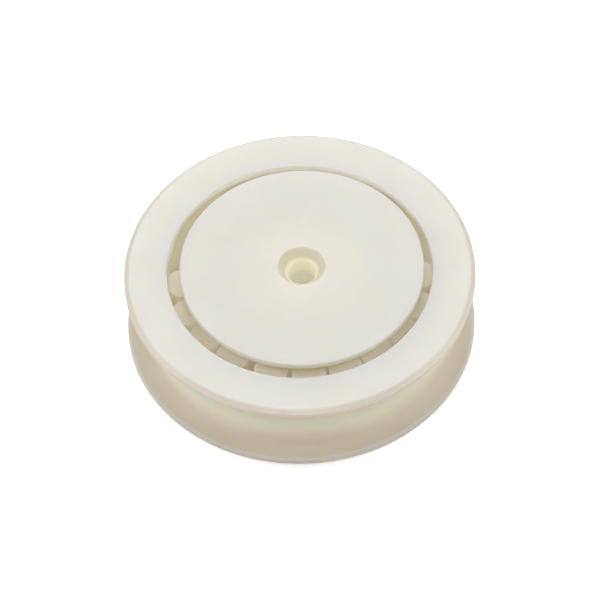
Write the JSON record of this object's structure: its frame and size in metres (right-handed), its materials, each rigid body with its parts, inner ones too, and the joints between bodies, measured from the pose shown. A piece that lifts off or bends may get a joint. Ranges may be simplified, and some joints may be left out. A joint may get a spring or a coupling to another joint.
{
  "type": "rope sheave",
  "caption": "Grooved plastic pulley wheel that turns on loose cylindrical rollers around a flanged hub with a countersunk axle bore.",
  "frame": {"origin": "centre of the axle bore, midway between the hub's two faces", "axes": "+Z along the axle, out of the hub cover's countersunk mouth"},
  "size_m": [0.0762, 0.0762, 0.0224],
  "materials": {
    "rim": "natural nylon, satin, slightly translucent",
    "hub": "natural nylon, satin, slightly translucent",
    "rollers": "natural plastic, satin"
  },
  "bodies": {
    "hub": {"hub_body": "hub", "hub_cover": "hub"},
    "rim": {"rim": "rim"},
    "roller_ring": {"roller_01": "rollers", "roller_02": "rollers", "roller_03": "rollers", "roller_04": "rollers", "roller_05": "rollers", "roller_06": "rollers", "roller_07": "rollers", "roller_08": "rollers", "roller_09": "rollers", "roller_10": "rollers", "roller_11": "rollers", "roller_12": "rollers", "roller_13": "rollers", "roller_14": "rollers", "roller_15": "rollers", "roller_16": "rollers"}
  },
  "joints": [
    {"name": "rim_spin", "type": "hinge", "parent": "hub", "child": "rim", "pos_m": [-0.00049, 0, 0], "axis": [0, 0, 1], "continuous": true},
    {"name": "roller_orbit", "type": "hinge", "parent": "hub", "child": "roller_ring", "pos_m": [-0.00024, 0, 0], "axis": [0, 0, 1], "continuous": true}
  ],
  "couplings": [
    {"joint": "roller_orbit", "follows": "rim_spin", "ratio": 0.57809}
  ]
}
